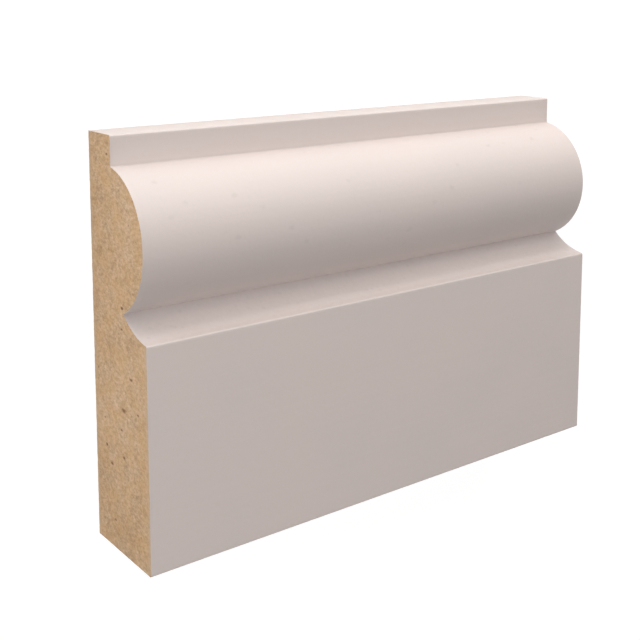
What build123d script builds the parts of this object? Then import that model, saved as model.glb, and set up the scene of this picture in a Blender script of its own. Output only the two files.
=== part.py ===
from build123d import *
import math
import os

# Torus architrave: one length of MDF moulding lying on its flat back.
# X runs along the length, +Y from the moulded head to the plain edge, +Z out of the moulded face.
# The origin is the centre of the back. All sizes are in millimetres.

# The board that the moulding is run from
LENGTH = 100.0
WIDTH = 68.0
THICKNESS = 18.0

# Head band, the thin flat strip along the moulded edge
BAND_WIDTH = 5.0
BAND_DEPTH = 10.5

# Torus, the bold half round; its crown stays a little below the plain face
TORUS_RADIUS = 12.0
TORUS_SETBACK = 0.5

# Quirk, the sharp valley at the foot of the torus, and the cove that climbs from it to the plain face
QUIRK_DEPTH = 7.3
COVE_WIDTH = 3.35
COVE_RADIUS = 12.0

# Easing of the arrises that the face and the long edges meet at
ARRIS_RADIUS = 0.3


def below_face(depth):
    """Height above the back of a point that lies this deep below the plain face."""
    return THICKNESS - depth


def half_chord(depth):
    """Half the width of the torus circle, this deep below the plain face."""
    rise = (TORUS_SETBACK + TORUS_RADIUS) - depth
    return math.sqrt(TORUS_RADIUS**2 - rise**2)


def moulded_section():
    """The section of the board, drawn as (Y, Z) from the head to the plain edge."""
    head = -WIDTH / 2
    plain_edge = WIDTH / 2
    band_end = head + BAND_WIDTH
    torus_middle = band_end + half_chord(BAND_DEPTH)
    quirk_at = torus_middle + half_chord(QUIRK_DEPTH)
    face_start = quirk_at + COVE_WIDTH

    back_of_head = (head, 0)
    back_of_plain_edge = (plain_edge, 0)
    head_arris = (head, below_face(BAND_DEPTH))
    torus_root = (band_end, below_face(BAND_DEPTH))
    torus_crown = (torus_middle, below_face(TORUS_SETBACK))
    quirk = (quirk_at, below_face(QUIRK_DEPTH))
    face_arris = (face_start, THICKNESS)
    plain_arris = (plain_edge, THICKNESS)

    with BuildSketch(Plane.YZ) as section:
        with BuildLine():
            Polyline(back_of_head, head_arris, torus_root)
            ThreePointArc(torus_root, torus_crown, quirk)
            RadiusArc(quirk, face_arris, -COVE_RADIUS)
            Polyline(face_arris, plain_arris, back_of_plain_edge, back_of_head)
        make_face()
        eased = [head_arris, face_arris, plain_arris]
        corners = [section.vertices().sort_by_distance(place)[0] for place in eased]
        fillet(corners, radius=ARRIS_RADIUS)
    return section.sketch


def sawn_length(section):
    """The moulding: its section run along the length, half to each side of the origin."""
    return extrude(section, amount=LENGTH / 2, both=True)


architrave = sawn_length(moulded_section())
architrave.label = "architrave"

os.makedirs("parts", exist_ok=True)
export_step(architrave, "parts/architrave.step")
print(f"architrave: {architrave.volume:.0f} cubic mm, {architrave.bounding_box().size}")
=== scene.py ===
# %% [markdown]
# # A length of torus architrave
#
# An architrave is the strip of trim that hides the joint between a door lining and the wall. This one is
# run from MDF board and has, from its head to its plain edge, a thin flat band, a bold half round called a
# torus, a sharp valley called a quirk, a small cove and a wide plain face. It is primed in a pinkish
# off-white and then sawn to length, so the two sawn ends and the back are bare board.
#
# It is one piece of stock, so the lesson models one mesh and gives it two finishes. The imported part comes
# first, as the frame that everything is measured from: X runs along the length, Y from the head to the
# plain edge and Z out of the moulded face, with the back on the floor.

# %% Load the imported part
import math

import bmesh
import bpy
from mathutils import Matrix, Vector


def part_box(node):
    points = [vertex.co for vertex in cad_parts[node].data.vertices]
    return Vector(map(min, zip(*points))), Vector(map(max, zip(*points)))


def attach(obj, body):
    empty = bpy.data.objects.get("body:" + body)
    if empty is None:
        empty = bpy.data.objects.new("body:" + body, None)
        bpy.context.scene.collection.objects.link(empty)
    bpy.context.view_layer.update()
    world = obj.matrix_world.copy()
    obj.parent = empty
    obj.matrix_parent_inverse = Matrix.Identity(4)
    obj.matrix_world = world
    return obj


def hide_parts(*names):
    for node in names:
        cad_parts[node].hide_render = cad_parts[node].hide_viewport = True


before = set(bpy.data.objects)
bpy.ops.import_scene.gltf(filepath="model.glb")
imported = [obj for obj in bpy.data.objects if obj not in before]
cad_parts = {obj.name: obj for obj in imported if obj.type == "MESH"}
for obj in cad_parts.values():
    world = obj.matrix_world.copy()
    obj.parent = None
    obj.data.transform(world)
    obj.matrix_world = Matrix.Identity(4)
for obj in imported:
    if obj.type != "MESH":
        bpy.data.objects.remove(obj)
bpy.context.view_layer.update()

# %% [markdown]
# ## The section, in real sizes
#
# A moulding is its section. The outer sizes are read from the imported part, so the mesh can't drift from it,
# and the sizes of the moulded head are written here once. Everything else is worked out: the torus is a
# circle that rises out of the band, and the cove is an arc between the quirk and the plain face.

# %% Sizes of the section
MM = 0.001
BAND_WIDTH = 5.0 * MM
BAND_DEPTH = 10.5 * MM
TORUS_RADIUS = 12.0 * MM
TORUS_SETBACK = 0.5 * MM
QUIRK_DEPTH = 7.3 * MM
COVE_WIDTH = 3.35 * MM
COVE_RADIUS = 12.0 * MM
ARRIS_RADIUS = 0.3 * MM

low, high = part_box("architrave")
far_end, near_end = low.x, high.x
head, plain_edge = low.y, high.y
face = high.z
band_top = face - BAND_DEPTH


def on_section(y, z):
    """A place on the section, drawn at the far sawn end."""
    return Vector((far_end, y, z))


def half_chord(depth):
    """Half the width of the torus circle, this deep below the plain face."""
    rise = TORUS_SETBACK + TORUS_RADIUS - depth
    return math.sqrt(TORUS_RADIUS**2 - rise**2)


torus_root = on_section(head + BAND_WIDTH, band_top)
torus_centre = on_section(torus_root.y + half_chord(BAND_DEPTH), face - TORUS_SETBACK - TORUS_RADIUS)
quirk = on_section(torus_centre.y + half_chord(QUIRK_DEPTH), face - QUIRK_DEPTH)
print("torus centre and quirk, in mm:", torus_centre / MM, quirk / MM)

# %% [markdown]
# The cove's circle lies in the open air above the quirk, on the line that halves the cove at right angles.
# The arris between the cove and the plain face is eased by a circle inside the wood: it touches the face
# from below and the cove's circle from outside, so its centre is one arris radius further from the cove's
# centre.

# %% Centres of the cove and of its arris
cove_top = on_section(quirk.y + COVE_WIDTH, face)
climb = cove_top - quirk
outward = Vector((0, -climb.z, climb.y)).normalized()
cove_centre = (quirk + cove_top) / 2 + outward * math.sqrt(COVE_RADIUS**2 - (climb.length / 2) ** 2)

arris_height = face - ARRIS_RADIUS
arris_reach = math.sqrt((COVE_RADIUS + ARRIS_RADIUS) ** 2 - (arris_height - cove_centre.z) ** 2)
arris_centre = on_section(cove_centre.y + arris_reach, arris_height)
cove_end = cove_centre + (arris_centre - cove_centre).normalized() * COVE_RADIUS
print("cove centre and arris centre, in mm:", cove_centre / MM, arris_centre / MM)

# %% [markdown]
# ## Drawing the section line
#
# The line could be typed in as points, but a maker draws it: start with one vertex, pull it along the
# straight stretches and spin it round the curved ones. A plane primitive merged to its centre gives that
# vertex. With no window open, Spin turns the other way to the right-hand rule, so the helper gives it the
# angle with its sign changed.

# %% Helpers that draw with the selected vertex
GRID = 0.36 * MM


def line_end():
    """The free end of the line, which is the one selected vertex."""
    mesh = bmesh.from_edit_mesh(bpy.context.edit_object.data)
    return next(vertex.co.copy() for vertex in mesh.verts if vertex.select)


def draw_straight(end):
    """Extrude the free end to a place, in pieces of about the grid's size."""
    run = end - line_end()
    pieces = round(run.length / GRID)
    for _ in range(pieces):
        bpy.ops.mesh.extrude_vertices_move(TRANSFORM_OT_translate={"value": run / pieces})


def draw_arc(centre, end, pieces=None):
    """Spin the free end about a centre until it reaches a place."""
    arm = line_end() - centre
    reach = end - centre
    turn = math.atan2(arm.cross(reach).x, arm.dot(reach))
    steps = pieces or round(abs(turn) * arm.length / GRID)
    bpy.ops.mesh.spin(steps=steps, angle=-turn, center=centre, axis=(1, 0, 0))


print("pieces of the line, in mm:", GRID / MM)

# %% Draw from the head to the plain edge
ARRIS_PIECES = 6

bpy.ops.object.select_all(action="DESELECT")
bpy.ops.mesh.primitive_plane_add(size=MM)
architrave = bpy.context.object
architrave.name = "torus_architrave"
architrave.data.name = "torus_architrave"
bpy.ops.object.mode_set(mode="EDIT")
bpy.ops.mesh.select_mode(type="VERT")
bpy.ops.mesh.select_all(action="SELECT")
bpy.ops.mesh.merge(type="CENTER")
bpy.ops.transform.translate(value=on_section(head, band_top - ARRIS_RADIUS))

draw_arc(on_section(head + ARRIS_RADIUS, band_top - ARRIS_RADIUS),
         on_section(head + ARRIS_RADIUS, band_top), ARRIS_PIECES)
draw_straight(torus_root)
draw_arc(torus_centre, quirk)
draw_arc(cove_centre, cove_end)
draw_arc(arris_centre, on_section(arris_centre.y, face), ARRIS_PIECES)
draw_straight(on_section(plain_edge - ARRIS_RADIUS, face))
draw_arc(on_section(plain_edge - ARRIS_RADIUS, arris_height),
         on_section(plain_edge, arris_height), ARRIS_PIECES)
print("section line ends at, in mm:", line_end() / MM)

# %% [markdown]
# Primer gathers a little in the corner at the root of the torus. A bevel on just that vertex rounds it, and
# without it the corner would look cut out of paper. The quirk stays sharp, because a thin dark line shows
# there.

# %% Round the corner that holds primer
TOUCH = 0.01 * MM
PRIMER_FILLET = 0.12 * MM
FILLET_PIECES = 3


def select_by_place(test):
    """Select each vertex whose place passes the test, and what lies between such vertices."""
    mesh = bmesh.from_edit_mesh(bpy.context.edit_object.data)
    for vertex in mesh.verts:
        vertex.select = test(vertex.co)
    mesh.select_flush_mode()
    bmesh.update_edit_mesh(bpy.context.edit_object.data)


select_by_place(lambda place: (place - torus_root).length < TOUCH)
bpy.ops.mesh.bevel(offset=PRIMER_FILLET, segments=FILLET_PIECES, affect="VERTICES")
print("section line has", len(bmesh.from_edit_mesh(architrave.data).verts), "vertices")

# %% [markdown]
# ## From a line to a sawn length
#
# One large face across the end would leave nothing to roughen later. So a copy of the line is flattened
# onto the back and the two lines are bridged, which fills the sawn end with an even grid of small quads.
# Extruding that grid along the length, a station at a time, then makes the moulded face, the edges, the
# back and the other end.

# %% Fill the sawn end
ROWS = round(face / GRID)

bpy.ops.mesh.select_all(action="SELECT")
bpy.ops.mesh.duplicate()
bpy.ops.transform.resize(value=(1, 1, 0), center_override=(0, 0, 0))
bpy.ops.mesh.select_all(action="SELECT")
bpy.ops.mesh.bridge_edge_loops(number_cuts=ROWS - 1, interpolation="LINEAR")
print("sawn end has", len(bmesh.from_edit_mesh(architrave.data).faces), "quads")

# %% Run the section along the length
STATIONS = 20

bpy.ops.mesh.select_all(action="SELECT")
station = ((near_end - far_end) / STATIONS, 0, 0)
for _ in range(STATIONS):
    bpy.ops.mesh.extrude_region_move(TRANSFORM_OT_translate={"value": station})
bpy.ops.mesh.select_all(action="SELECT")
bpy.ops.mesh.normals_make_consistent(inside=False)


def measured(mesh_data):
    """Volume in cubic millimetres and the number of open edges of a mesh."""
    mesh = bmesh.new()
    mesh.from_mesh(mesh_data)
    volume = mesh.calc_volume(signed=True) / MM**3
    open_edges = sum(not edge.is_manifold for edge in mesh.edges)
    mesh.free()
    return volume, open_edges


bpy.ops.object.mode_set(mode="OBJECT")
print("sawn length, cubic mm and open edges:", measured(architrave.data))
print("packed node, cubic mm:", measured(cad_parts["architrave"].data)[0])

# %% [markdown]
# ## The saw cut
#
# A saw tears MDF a little, so its ends are matt and slightly fuzzy where the machined face is smooth. Bump
# alone would leave the mesh dead flat. A Displace modifier with a cloud texture roughens the two ends for
# real, and only inwards, so that the length stays true. Each end gets a vertex group that keeps the
# modifier off the rest.

# %% Roughen the two ends
FUZZ_GRAIN = 0.7 * MM
FUZZ_DEPTH = 0.08 * MM
FUZZ_OCTAVES = 2

saw_fuzz = bpy.data.textures.new("saw_fuzz", "CLOUDS")
saw_fuzz.noise_scale = FUZZ_GRAIN
saw_fuzz.noise_depth = FUZZ_OCTAVES


def roughen_end(name, place, inward):
    """Push the vertices of the end at this place inwards, unevenly."""
    bpy.ops.object.mode_set(mode="EDIT")
    select_by_place(lambda vertex: abs(vertex.x - place) < TOUCH)
    bpy.ops.object.vertex_group_add()
    architrave.vertex_groups.active.name = name
    bpy.ops.object.vertex_group_assign()
    bpy.ops.object.mode_set(mode="OBJECT")
    bpy.ops.object.modifier_add(type="DISPLACE")
    fuzz = architrave.modifiers[-1]
    fuzz.texture = saw_fuzz
    fuzz.texture_coords = "LOCAL"
    fuzz.direction = "X"
    fuzz.mid_level = 1.0
    fuzz.strength = -inward * FUZZ_DEPTH
    fuzz.vertex_group = name
    bpy.ops.object.modifier_apply(modifier=fuzz.name)


roughen_end("near_saw_cut", near_end, -1)
roughen_end("far_saw_cut", far_end, 1)
print("roughened length, cubic mm and open edges:", measured(architrave.data))

# %% Smooth the runs and keep the corners
CORNER_ANGLE = math.radians(40)

bpy.ops.object.shade_smooth_by_angle(angle=CORNER_ANGLE)
print("triangles:", sum(len(polygon.vertices) - 2 for polygon in architrave.data.polygons))

# %% [markdown]
# ## Building blocks for the two finishes
#
# Primer and bare board look different, but both are a colour that varies in soft patches and carries
# scattered flecks. Each of those effects is built once as a node group, with its sizes in millimetres, and
# each finish then uses it with values of its own. The groups read Object coordinates, which on this piece
# are its real places, so the grain keeps its size and runs on round every corner. Wiring nodes by hand
# repeats itself, so a few short helpers come first.

# %% Helpers that build nodes
def feed(tree, socket, value):
    """Link a node's output to the socket, or set the socket to a plain value."""
    if isinstance(value, bpy.types.NodeSocket):
        tree.links.new(value, socket)
    else:
        socket.default_value = value


def numbers(tree, operation, *values):
    """A Math node."""
    node = tree.nodes.new("ShaderNodeMath")
    node.operation = operation
    for socket, value in zip(node.inputs, values):
        feed(tree, socket, value)
    return node.outputs["Value"]


def vectors(tree, operation, *values):
    """A Vector Math node."""
    node = tree.nodes.new("ShaderNodeVectorMath")
    node.operation = operation
    for socket, value in zip(node.inputs, values):
        feed(tree, socket, value)
    return node.outputs["Vector"]


def scaled(tree, vector, factor):
    """A vector or a colour times a number."""
    result = vectors(tree, "SCALE", vector)
    feed(tree, result.node.inputs["Scale"], factor)
    return result


def ranged(tree, value, start, end, low_value=0.0, high_value=1.0):
    """A Map Range node that eases from the low value at start to the high value at end."""
    node = tree.nodes.new("ShaderNodeMapRange")
    node.interpolation_type = "SMOOTHSTEP"
    names = ("Value", "From Min", "From Max", "To Min", "To Max")
    for name, number in zip(names, (value, start, end, low_value, high_value)):
        feed(tree, node.inputs[name], number)
    return node.outputs["Result"]


def new_group(name, inlets, outlet):
    """An empty node group with named inputs and one number as its output."""
    group = bpy.data.node_groups.new(name, "ShaderNodeTree")
    for label, kind, default in inlets:
        socket = group.interface.new_socket(label, in_out="INPUT", socket_type=kind)
        socket.default_value = default
    group.interface.new_socket(outlet, in_out="OUTPUT", socket_type="NodeSocketFloat")
    return group, group.nodes.new("NodeGroupInput").outputs, group.nodes.new("NodeGroupOutput").inputs


print("node helpers:", [helper.__name__ for helper in (feed, numbers, vectors, scaled, ranged, new_group)])

# %% Soft patches: a tone from about -1 to 1
NOISE_MEAN = 0.5
NOISE_GAIN = 4.0

uneven_tone, given, gives = new_group(
    "uneven_tone",
    [
        ("Place", "NodeSocketVector", (0, 0, 0)),
        ("Stretch", "NodeSocketVector", (1, 1, 1)),
        ("Grain", "NodeSocketFloat", 1.0),
        ("Detail", "NodeSocketFloat", 2.0),
    ],
    "Tone",
)
cloud = uneven_tone.nodes.new("ShaderNodeTexNoise")
stretched = vectors(uneven_tone, "DIVIDE", given["Place"], given["Stretch"])
feed(uneven_tone, cloud.inputs["Vector"], stretched)
feed(uneven_tone, cloud.inputs["Scale"], numbers(uneven_tone, "DIVIDE", 1 / MM, given["Grain"]))
feed(uneven_tone, cloud.inputs["Detail"], given["Detail"])
centred = numbers(uneven_tone, "SUBTRACT", cloud.outputs["Fac"], NOISE_MEAN)
feed(uneven_tone, gives["Tone"], numbers(uneven_tone, "MULTIPLY", centred, NOISE_GAIN))
print("group:", uneven_tone.name, [socket.name for socket in uneven_tone.interface.items_tree])

# %% [markdown]
# Flecks are rarer than patches. A Voronoi texture scatters points and gives each cell a random colour. Only
# the share of cells with a low enough random number shows a fleck, some fainter than others, and a little
# noise on the place first keeps the flecks from being round.

# %% Scattered flecks: a mask from 0 to 1
RAGGED = 0.25
RAGGED_SCALE = 6.0
SOFT_CORE = 0.35
FAINTEST = 0.4

scattered_flecks, given, gives = new_group(
    "scattered_flecks",
    [
        ("Place", "NodeSocketVector", (0, 0, 0)),
        ("Stretch", "NodeSocketVector", (1, 1, 1)),
        ("Spacing", "NodeSocketFloat", 4.0),
        ("Share", "NodeSocketFloat", 0.3),
        ("Reach", "NodeSocketFloat", 0.1),
    ],
    "Mask",
)
stretched = vectors(scattered_flecks, "DIVIDE", given["Place"], given["Stretch"])
spaced = vectors(scattered_flecks, "DIVIDE", scaled(scattered_flecks, stretched, 1 / MM), given["Spacing"])
ragged = scattered_flecks.nodes.new("ShaderNodeTexNoise")
feed(scattered_flecks, ragged.inputs["Vector"], spaced)
feed(scattered_flecks, ragged.inputs["Scale"], RAGGED_SCALE)
wobble = vectors(scattered_flecks, "MULTIPLY", ragged.outputs["Color"], (RAGGED, RAGGED, RAGGED))
cells = scattered_flecks.nodes.new("ShaderNodeTexVoronoi")
feed(scattered_flecks, cells.inputs["Vector"], vectors(scattered_flecks, "ADD", spaced, wobble))
feed(scattered_flecks, cells.inputs["Scale"], 1.0)
chance = scattered_flecks.nodes.new("ShaderNodeSeparateColor")
feed(scattered_flecks, chance.inputs["Color"], cells.outputs["Color"])
chosen = numbers(scattered_flecks, "LESS_THAN", chance.outputs["Red"], given["Share"])
core = numbers(scattered_flecks, "MULTIPLY", given["Reach"], SOFT_CORE)
spot = ranged(scattered_flecks, cells.outputs["Distance"], given["Reach"], core)
depth = ranged(scattered_flecks, chance.outputs["Green"], 0.0, 1.0, FAINTEST, 1.0)
shown = numbers(scattered_flecks, "MULTIPLY", spot, depth)
feed(scattered_flecks, gives["Mask"], numbers(scattered_flecks, "MULTIPLY", shown, chosen))
print("group:", scattered_flecks.name, [socket.name for socket in scattered_flecks.interface.items_tree])

# %% [markdown]
# A finish is a material around these groups. Each starts the same way, with a Principled shader and the
# piece's own places, so that start is a helper too, and so are mixing two colours and adding bump.

# %% Helpers that build a finish
def new_material(name):
    """A material with nodes, its tree, its shader and its Object coordinates."""
    material = bpy.data.materials.new(name)
    material.use_nodes = True
    tree = material.node_tree
    place = tree.nodes.new("ShaderNodeTexCoord").outputs["Object"]
    return material, tree, tree.nodes["Principled BSDF"], place


def placed(tree, group, **values):
    """A node group placed in a material, with its own values."""
    node = tree.nodes.new("ShaderNodeGroup")
    node.node_tree = group
    for label, value in values.items():
        feed(tree, node.inputs[label], value)
    return node.outputs[0]


def mixed(tree, factor, first, second):
    """A Mix node between two colours."""
    node = tree.nodes.new("ShaderNodeMix")
    node.data_type = "RGBA"
    colour_sockets = [socket for socket in node.inputs if socket.type == "RGBA"]
    feed(tree, node.inputs["Factor"], factor)
    feed(tree, colour_sockets[0], first)
    feed(tree, colour_sockets[1], second)
    return next(socket for socket in node.outputs if socket.type == "RGBA")


def raised(tree, shader, height, depth):
    """Bump of this depth in metres, from a height that runs from about -1 to 1."""
    bump = tree.nodes.new("ShaderNodeBump")
    bump.inputs["Distance"].default_value = depth
    feed(tree, bump.inputs["Height"], height)
    feed(tree, shader.inputs["Normal"], bump.outputs["Normal"])


print("finish helpers:", [helper.__name__ for helper in (new_material, placed, mixed, raised)])

# %% [markdown]
# ## Primer
#
# Factory primer on MDF is sprayed or curtain-coated and lightly sanded. It is not the same everywhere. The
# cutter opens the board's core on the torus and in the cove, so the torus has soft specks, most of them
# from its root to its crown, and the cove a fine grit, while the plain face, which is the board's pressed
# skin, stays clean. The coat is painted greyer towards the quirk, from the torus's belly across the cove,
# as painted shade, and a painted shade darkens the corner at the root of the torus. A mask for each of
# these could be painted by hand, but all of them follow the section, so each is worked out from Y: it
# rises between two places and falls between two more.

# %% Mark where the primer changes
SPECK_FADE = 0.5 * MM
QUIRK_SHADE_REACH = 7.0 * MM
# how far the painted shade at the torus root reaches onto the band and onto the torus
PAINTED_SHADE_ON_BAND = 0.6 * MM
PAINTED_SHADE_ON_TORUS = 0.15 * MM


def stripe(tree, across, rise_from, rise_to, fall_from, fall_to):
    """A mask that rises between two places across the section and falls between two more."""
    rising = ranged(tree, across, rise_from, rise_to)
    falling = ranged(tree, across, fall_to, fall_from)
    return numbers(tree, "MULTIPLY", rising, falling)


primer_coat, tree, shader, place = new_material("primer_coat")
axes = tree.nodes.new("ShaderNodeSeparateXYZ")
feed(tree, axes.inputs["Vector"], place)
across = axes.outputs["Y"]
on_torus = stripe(tree, across, torus_root.y - SPECK_FADE, torus_root.y, torus_centre.y, quirk.y)
in_cove = stripe(tree, across, quirk.y - SPECK_FADE, quirk.y, cove_top.y, cove_top.y + SPECK_FADE)
# Painted shade: a greyer coat from the torus's belly to the quirk, fading across the cove
painted_quirk_shade_mask = stripe(tree, across, quirk.y - QUIRK_SHADE_REACH, quirk.y, quirk.y, cove_top.y)
# Painted shade: a soft darker line in the corner at the torus root
painted_root_shade_mask = stripe(tree, across, torus_root.y - PAINTED_SHADE_ON_BAND, torus_root.y,
                 torus_root.y, torus_root.y + PAINTED_SHADE_ON_TORUS)
print("torus root, quirk and cove top at Y, in mm:", [at.y / MM for at in (torus_root, quirk, cove_top)])

# %% [markdown]
# The coat itself is matt to low sheen and very even, with a faint orange peel, faint marks along the feed
# direction, and a few grey specks where a fibre shows through. A flat colour would look like plastic, so
# the tone drifts a little between a pinker and a greyer white, and the sheen drifts with it.

# %% Mix the primer
PRIMER_PINK = (0.665, 0.575, 0.536, 1)
PRIMER_GREY = (0.652, 0.570, 0.535, 1)
# a greyer white painted towards the quirk as painted shade
PAINTED_QUIRK_SHADE = (0.638, 0.572, 0.552, 1)
PRIMER_FLECK = (0.48, 0.42, 0.395, 1)
ALONG_FEED = (40.0, 1.0, 1.0)
SPECK_LENGTHEN = (1.4, 1.0, 1.0)
FEED_SHADE = 0.006
PEEL_SHADE = 0.006
COVE_PEEL_SHADE = 0.014
# painted shade that darkens the corner at the torus root
PAINTED_ROOT_SHADE = -0.09

drift = placed(tree, uneven_tone, Place=place, Grain=16.0, Detail=3.0)
feed_marks = placed(tree, uneven_tone, Place=place, Stretch=ALONG_FEED, Grain=0.9, Detail=2.0)
peel = placed(tree, uneven_tone, Place=place, Grain=0.8, Detail=2.0)
specks = placed(tree, scattered_flecks, Place=place, Stretch=SPECK_LENGTHEN,
                Spacing=3.2, Share=0.60, Reach=0.185)
grit = placed(tree, scattered_flecks, Place=place, Spacing=1.6, Share=0.50, Reach=0.32)

hue = ranged(tree, drift, -1.0, 1.0)
coat = mixed(tree, hue, PRIMER_PINK, PRIMER_GREY)
# Painted shade: the coat turns greyer towards the quirk
coat = mixed(tree, painted_quirk_shade_mask, coat, PAINTED_QUIRK_SHADE)
peel_shade = numbers(tree, "MULTIPLY_ADD", in_cove, COVE_PEEL_SHADE, PEEL_SHADE)
shade = numbers(tree, "MULTIPLY_ADD", feed_marks, FEED_SHADE, 1.0)
shade = numbers(tree, "MULTIPLY_ADD", peel, peel_shade, shade)
# Painted shade: the coat is darkened in the corner at the torus root
shade = numbers(tree, "MULTIPLY_ADD", painted_root_shade_mask, PAINTED_ROOT_SHADE, shade)
coat = scaled(tree, coat, shade)
print("coat mixed from", PRIMER_PINK[:3], "and", PRIMER_GREY[:3])

# %% Speckle the coat and wire its shader
SPECK_STRENGTH = 0.30
GRIT_STRENGTH = 0.22
PRIMER_ROUGHNESS = 0.58
SHEEN_DRIFT = 0.04
FEED_RELIEF = 0.6
PEEL_DEPTH = 0.004 * MM

torus_specks = numbers(tree, "MULTIPLY", numbers(tree, "MULTIPLY", specks, on_torus), SPECK_STRENGTH)
cove_grit = numbers(tree, "MULTIPLY", numbers(tree, "MULTIPLY", grit, in_cove), GRIT_STRENGTH)
shown = numbers(tree, "MAXIMUM", torus_specks, cove_grit)
feed(tree, shader.inputs["Base Color"], mixed(tree, shown, coat, PRIMER_FLECK))
roughness = numbers(tree, "MULTIPLY_ADD", drift, SHEEN_DRIFT, PRIMER_ROUGHNESS)
feed(tree, shader.inputs["Roughness"], roughness)
raised(tree, shader, numbers(tree, "MULTIPLY_ADD", feed_marks, FEED_RELIEF, peel), PEEL_DEPTH)
print("finish:", primer_coat.name, len(tree.nodes), "nodes")

# %% [markdown]
# ## Bare board
#
# MDF is wood cooked to fibres and pressed with resin. On a sawn end it shows as a crisp tan mottle, half a
# millimetre across and a little taller than wide, with finer grain in it and broader clumps, patches and a
# slow drift beneath. One noise with many octaves would blur these together, so each is a layer of its own
# and the layers are summed. The drift starts at a place in its noise that was chosen to suit the near end.
# A colour ramp turns the sum into board colours, because the dark patches are browner as well as darker.

# %% Mix the board's mottle
BOARD_DARK = (0.335, 0.208, 0.114, 1)
BOARD_TAN = (0.558, 0.388, 0.243, 1)
BOARD_LIGHT = (0.755, 0.568, 0.395, 1)
TALL_GRAIN = (1.0, 0.95, 1.45)
DRIFT_FROM = (21.567, 0, 0)
MIDDLE_TONE = 0.5

bare_board, tree, shader, place = new_material("bare_board")
mottle = placed(tree, uneven_tone, Place=place, Stretch=TALL_GRAIN, Grain=0.60, Detail=3.0)
grain = placed(tree, uneven_tone, Place=place, Stretch=TALL_GRAIN, Grain=0.28, Detail=1.0)
clumps = placed(tree, uneven_tone, Place=place, Grain=1.4, Detail=2.0)
patches = placed(tree, uneven_tone, Place=place, Grain=3.2, Detail=2.0)
drift = placed(tree, uneven_tone, Place=vectors(tree, "ADD", place, DRIFT_FROM), Grain=18.0, Detail=2.0)

layer_shares = ((mottle, 0.25), (grain, 0.21), (clumps, 0.09), (patches, 0.07), (drift, 0.11))
tone = MIDDLE_TONE
for layer, share in layer_shares:
    tone = numbers(tree, "MULTIPLY_ADD", layer, share, tone)
board_colours = tree.nodes.new("ShaderNodeValToRGB")
board_colours.color_ramp.elements[0].color = BOARD_DARK
board_colours.color_ramp.elements[1].color = BOARD_LIGHT
board_colours.color_ramp.elements.new(MIDDLE_TONE).color = BOARD_TAN
feed(tree, board_colours.inputs["Fac"], tone)
print("board tone summed from", len(layer_shares), "layers")

# %% [markdown]
# Some parts of the board are warmer than others, and the press leaves a slightly greyer skin at its two
# faces, where the fibres are densest. The warmth is one more soft patch, started elsewhere in the noise so
# that it doesn't follow the mottle, and the skin is worked out from the distance to the middle of the
# board.

# %% Warm the board and grey its skin
BOARD_WARM = (0.640, 0.380, 0.170, 1)
BOARD_SKIN = (0.545, 0.410, 0.285, 1)
HUE_FROM = (0.31, 0.17, 0.23)
WARMEST = 0.40
SKIN_DEPTH = 1.5 * MM
SKIN_STRENGTH = 0.5

hue = placed(tree, uneven_tone, Place=vectors(tree, "ADD", place, HUE_FROM), Grain=3.6, Detail=2.0)
warmth = ranged(tree, hue, -1.0, 1.0, 0.0, WARMEST)
board = mixed(tree, warmth, board_colours.outputs["Color"], BOARD_WARM)

axes = tree.nodes.new("ShaderNodeSeparateXYZ")
feed(tree, axes.inputs["Vector"], place)
middle_of_board = face / 2
off_middle = numbers(tree, "ABSOLUTE", numbers(tree, "SUBTRACT", axes.outputs["Z"], middle_of_board))
skin = ranged(tree, off_middle, middle_of_board - SKIN_DEPTH, middle_of_board)
board = mixed(tree, numbers(tree, "MULTIPLY", skin, SKIN_STRENGTH), board, BOARD_SKIN)
print("skin of the board, in mm:", SKIN_DEPTH / MM)

# %% [markdown]
# Bark is what the eye knows MDF by. Fine specks are scattered at random, and on the near end a few larger
# ones are placed from a list. Each of those is a ball in the board, stretched upwards and cut through by the
# saw, and the mottle added to the distance from its middle makes its edge ragged. The far end has them in
# mirror order, so that neither end looks plainer than the other. One of them falls outside the section
# there and doesn't show.

# %% Scatter the bark
BARK_EDGE = 0.08 * MM
BARK_CORE = 0.3
BARK_TALL = (1.0, 1.0, 1.7)
# Y and Z of each large speck's middle, and how far it reaches, in millimetres
LARGE_BARK = (
    (-30.9, 6.3, 0.30),
    (-7.2, 10.2, 0.39),
    (-3.7, 10.1, 0.24),
    (3.7, 12.8, 0.36),
    (8.8, 14.8, 0.29),
    (9.5, 10.1, 0.54),
    (12.6, 3.3, 0.22),
    (13.0, 9.2, 0.25),
    (17.1, 3.8, 0.32),
    (17.4, 9.8, 0.34),
    (19.8, 5.5, 0.40),
    (29.2, 6.2, 0.32),
)


def bark_ball(tree, place, ragged, middle, reach):
    """A mask for one bark speck around its middle."""
    from_middle = vectors(tree, "SUBTRACT", place, middle)
    apart = tree.nodes.new("ShaderNodeVectorMath")
    apart.operation = "LENGTH"
    feed(tree, apart.inputs["Vector"], vectors(tree, "DIVIDE", from_middle, BARK_TALL))
    distance = numbers(tree, "MULTIPLY_ADD", ragged, BARK_EDGE, apart.outputs["Value"])
    return ranged(tree, distance, reach, BARK_CORE * reach)


bark = placed(tree, scattered_flecks, Place=place, Spacing=2.8, Share=0.30, Reach=0.11)
for sawn_end, side in ((near_end, 1), (far_end, -1)):
    for along_y, up, reach in LARGE_BARK:
        middle = (sawn_end, side * along_y * MM, up * MM)
        bark = numbers(tree, "MAXIMUM", bark, bark_ball(tree, place, mottle, middle, reach * MM))
print("large bark specks placed at each end:", len(LARGE_BARK))

# %% [markdown]
# Between the bark, single fibre ends show as fine pale and dark dots. They are flecks again, closer
# together, and the dark ones start elsewhere in the noise so that they don't fall on the pale ones. The
# bark comes last, over everything. A sawn end scatters light, so the shader is rough, with little gloss and
# more bump than the primer.

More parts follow.
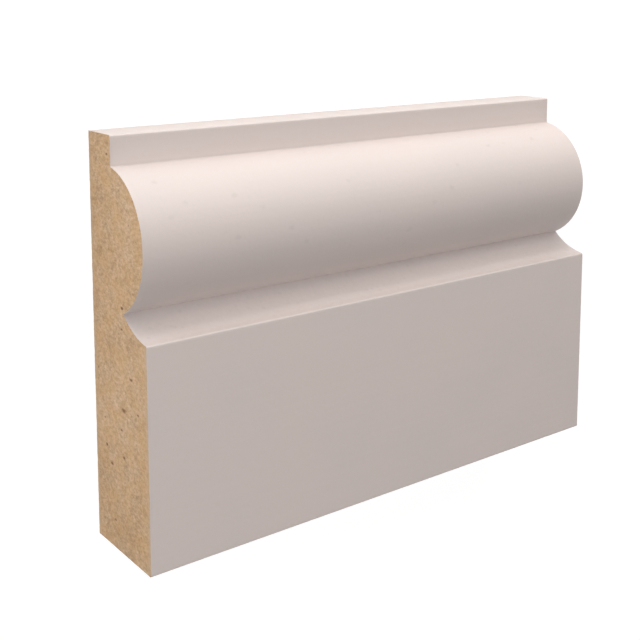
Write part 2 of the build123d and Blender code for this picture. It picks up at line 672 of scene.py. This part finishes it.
# %% Add fibre ends and wire the board's shader
FIBRE_PALE = (0.800, 0.610, 0.420, 1)
FIBRE_DARK = (0.270, 0.140, 0.060, 1)
BARK = (0.150, 0.066, 0.022, 1)
DARK_FROM = (0.5, 0.2, 0.1)
PALE_STRENGTH = 0.30
DARK_STRENGTH = 0.42
BARK_STRENGTH = 0.80
BOARD_GLOSS = 0.2
BOARD_ROUGHNESS = 0.86
ROUGHNESS_MOTTLE = 0.05
GRAIN_RELIEF = 0.7
FIBRE_DEPTH = 0.02 * MM

pale = placed(tree, scattered_flecks, Place=place, Spacing=1.2, Share=0.50, Reach=0.22)
dark = placed(tree, scattered_flecks, Place=vectors(tree, "ADD", place, DARK_FROM),
              Spacing=1.2, Share=0.40, Reach=0.20)
board = mixed(tree, numbers(tree, "MULTIPLY", pale, PALE_STRENGTH), board, FIBRE_PALE)
board = mixed(tree, numbers(tree, "MULTIPLY", dark, DARK_STRENGTH), board, FIBRE_DARK)
board = mixed(tree, numbers(tree, "MULTIPLY", bark, BARK_STRENGTH), board, BARK)
feed(tree, shader.inputs["Base Color"], board)
shader.inputs["Specular IOR Level"].default_value = BOARD_GLOSS
roughness = numbers(tree, "MULTIPLY_ADD", mottle, ROUGHNESS_MOTTLE, BOARD_ROUGHNESS)
feed(tree, shader.inputs["Roughness"], roughness)
raised(tree, shader, numbers(tree, "MULTIPLY_ADD", grain, GRAIN_RELIEF, mottle), FIBRE_DEPTH)
print("finish:", bare_board.name, len(tree.nodes), "nodes")

# %% [markdown]
# ## Putting the finishes on
#
# The moulder primes a long strip and the saw comes last, so primer covers the moulded face and both long
# edges, and bare board shows wherever the saw or the back of the sheet is. The faces tell by their normals
# which is which: sawn ends face along X, and the back faces down.

# %% Assign the finishes by the way that faces look
SAWN = 0.5
BACK = -0.9

for finish in (primer_coat, bare_board):
    bpy.ops.object.material_slot_add()
    architrave.material_slots[-1].material = finish

bpy.ops.object.mode_set(mode="EDIT")
bpy.ops.mesh.select_mode(type="FACE")
bpy.ops.mesh.select_all(action="DESELECT")
mesh = bmesh.from_edit_mesh(architrave.data)
for quad in mesh.faces:
    quad.select_set(abs(quad.normal.x) > SAWN or quad.normal.z < BACK)
bmesh.update_edit_mesh(architrave.data)
architrave.active_material_index = list(architrave.data.materials).index(bare_board)
bpy.ops.object.material_slot_assign()
bpy.ops.object.mode_set(mode="OBJECT")
bare = sum(polygon.material_index == architrave.active_material_index for polygon in architrave.data.polygons)
print("faces of bare board:", bare, "of", len(architrave.data.polygons))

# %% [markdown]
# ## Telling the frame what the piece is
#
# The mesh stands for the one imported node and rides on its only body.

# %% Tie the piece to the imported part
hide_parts("architrave")
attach(architrave, "root")
print("piece:", architrave.name, "rides on root")

# %% [markdown]
# ## A white floor that keeps a shadow
#
# The length lies on a plain white floor. For the light that bounces it is ordinary white paint. For the
# camera it adds a glow of its own under the paint, so that the floor reads white without more light on the
# wood, and the shadow still shows. Reflections see the same white floor as the camera does.

# %% Lay the floor
FLOOR_SIZE = 6.0
FLOOR_PAINT = (0.80, 0.80, 0.80, 1)
SHADOW_PAINT = (0.20, 0.20, 0.20, 1)
FLOOR_GLOW = 0.90


def seen_directly(tree):
    """One for rays from the camera, mirrors or glass, and nought for bounced light."""
    path = tree.nodes.new("ShaderNodeLightPath").outputs
    seen = numbers(tree, "MAXIMUM", path["Is Camera Ray"], path["Is Glossy Ray"])
    return numbers(tree, "MAXIMUM", seen, path["Is Transmission Ray"])


def shaders_mixed(tree, factor, first, second):
    """A Mix Shader node."""
    node = tree.nodes.new("ShaderNodeMixShader")
    for socket, value in zip(node.inputs, (factor, first, second)):
        feed(tree, socket, value)
    return node.outputs["Shader"]


bpy.ops.object.select_all(action="DESELECT")
bpy.ops.mesh.primitive_plane_add(size=FLOOR_SIZE)
floor = bpy.context.object
floor.name = "studio_floor"
white_floor = bpy.data.materials.new("white_floor")
white_floor.use_nodes = True
tree = white_floor.node_tree
tree.nodes.remove(tree.nodes["Principled BSDF"])
paint = tree.nodes.new("ShaderNodeBsdfDiffuse")
paint.inputs["Color"].default_value = FLOOR_PAINT
shadow_catcher = tree.nodes.new("ShaderNodeBsdfDiffuse")
shadow_catcher.inputs["Color"].default_value = SHADOW_PAINT
glow = tree.nodes.new("ShaderNodeEmission")
glow.inputs["Strength"].default_value = FLOOR_GLOW
glowing = tree.nodes.new("ShaderNodeAddShader")
feed(tree, glowing.inputs[0], shadow_catcher.outputs["BSDF"])
feed(tree, glowing.inputs[1], glow.outputs["Emission"])
surface = shaders_mixed(tree, seen_directly(tree), paint.outputs["BSDF"], glowing.outputs["Shader"])
feed(tree, tree.nodes["Material Output"].inputs["Surface"], surface)
floor.data.materials.append(white_floor)
print("floor:", floor.name, FLOOR_SIZE, "m square")

# %% [markdown]
# ## Studio light
#
# Three softboxes on the head's side, from low to high, model the torus from a bright shoulder to a shaded
# belly and soften the shadow that it throws on the cove. A strip and a panel on the floor there, as
# reflectors would, lift the head and the shoulder. One softbox over the near end lights the plain face and
# the belly. A strip on the floor faces each of the other three sides and stays too low to reach the
# mouldings. Each level is how bright a white card at the target would look if it faced that softbox alone,
# so the powers follow from the distances.

# %% Hang the softboxes
NEARLY_UPRIGHT = 0.99
MIDDLE = (0, 0, face / 2)
# Place, target, width and height in metres, and level of each softbox
SOFTBOXES = {
    "head_low": ((0.00, -0.69, 0.13), MIDDLE, (0.25, 0.12), 0.19),
    "head_side": ((0.00, -0.65, 0.27), MIDDLE, (0.25, 0.30), 0.31),
    "head_high": ((-0.28, -0.48, 0.44), MIDDLE, (0.25, 0.25), 0.23),
    "head_strip": ((0.10, -0.20, 0.008), (0.10, head, 0.008), (0.40, 0.014), 0.18),
    "head_panel": ((0.00, -0.10, 0.001), (0.00, -0.10, 0.20), (0.30, 0.10), 0.30),
    "over_near_end": ((0.45, -0.05, 0.60), MIDDLE, (0.40, 0.40), 0.465),
    "near_end_strip": ((0.25, 0.00, 0.010), (near_end, 0, 0.010), (0.06, 0.016), 0.18),
    "far_end_strip": ((-0.25, 0.00, 0.010), (far_end, 0, 0.010), (0.06, 0.016), 0.35),
    "plain_edge_strip": ((0.00, 0.234, 0.010), (0, plain_edge, 0.010), (0.30, 0.016), 0.38),
}


def turned(place, target, up):
    """The matrix of an object at a place that looks at a target with a side of it kept up."""
    back = (place - target).normalized()
    right = up.cross(back).normalized()
    turn = Matrix((right, back.cross(right), back)).transposed()
    return Matrix.Translation(place) @ turn.to_4x4()


def hang_softbox(name, place, target, size, level):
    """A softbox whose width runs level, as bright as its level says at the target."""
    place, target = Vector(place), Vector(target)
    bpy.ops.object.light_add(type="AREA")
    softbox = bpy.context.object
    softbox.name = name
    softbox.data.shape = "RECTANGLE"
    softbox.data.size, softbox.data.size_y = size
    upright = abs((place - target).normalized().z) > NEARLY_UPRIGHT
    softbox.matrix_world = turned(place, target, Vector((0, 1, 0)) if upright else Vector((0, 0, 1)))
    softbox.data.energy = level * math.pi**2 * (place - target).length_squared
    softbox.visible_camera = False
    return softbox


for name, row in SOFTBOXES.items():
    softbox = hang_softbox(name, *row)
    print("softbox:", name, round(softbox.data.energy, 3), "W")

# %% [markdown]
# A pale sky fills the shadows. As with the floor, what lights the wood and what the camera sees are kept
# apart: the sky lights it weakly, and shows as plain white behind it.

# %% Fill with a pale sky
SKY = 0.10
WHITE = (1, 1, 1, 1)

world = bpy.data.worlds.new("pale_sky")
bpy.context.scene.world = world
world.use_nodes = True
tree = world.node_tree
sky = tree.nodes["Background"]
sky.inputs["Color"].default_value = WHITE
sky.inputs["Strength"].default_value = SKY
backdrop = tree.nodes.new("ShaderNodeBackground")
backdrop.inputs["Color"].default_value = WHITE
backdrop.inputs["Strength"].default_value = 1.0
seen = shaders_mixed(tree, seen_directly(tree), sky.outputs["Background"], backdrop.outputs["Background"])
feed(tree, tree.nodes["World Output"].inputs["Surface"], seen)
bpy.context.scene.view_settings.view_transform = "Standard"
print("sky:", world.name, "at strength", SKY)

# %% [markdown]
# ## The camera
#
# The length lies flat, but it is best known standing with its head up. So the camera hangs over the near
# end and looks down past the head, and its own up is the part's way from the plain edge to the head. A view
# camera keeps upright lines upright by sliding its film instead of tilting. The small shift here does part
# of that.

# %% Set the camera
CAMERA_PLACE = Vector((124.9, -55.6, 160.8)) * MM
CAMERA_TARGET = Vector((10.5, -30.1, 9.0)) * MM
HEADWARDS = Vector((0, -1, 0))
LENS = 61.7
FILM_SHIFT = -0.28
NEAREST_SEEN = 1 * MM

bpy.ops.object.camera_add()
camera = bpy.context.object
camera.name = "camera"
camera.matrix_world = turned(CAMERA_PLACE, CAMERA_TARGET, HEADWARDS)
camera.data.lens = LENS
camera.data.shift_y = FILM_SHIFT
camera.data.clip_start = NEAREST_SEEN
bpy.context.scene.camera = camera
print("camera at", tuple(camera.location), "lens", LENS)
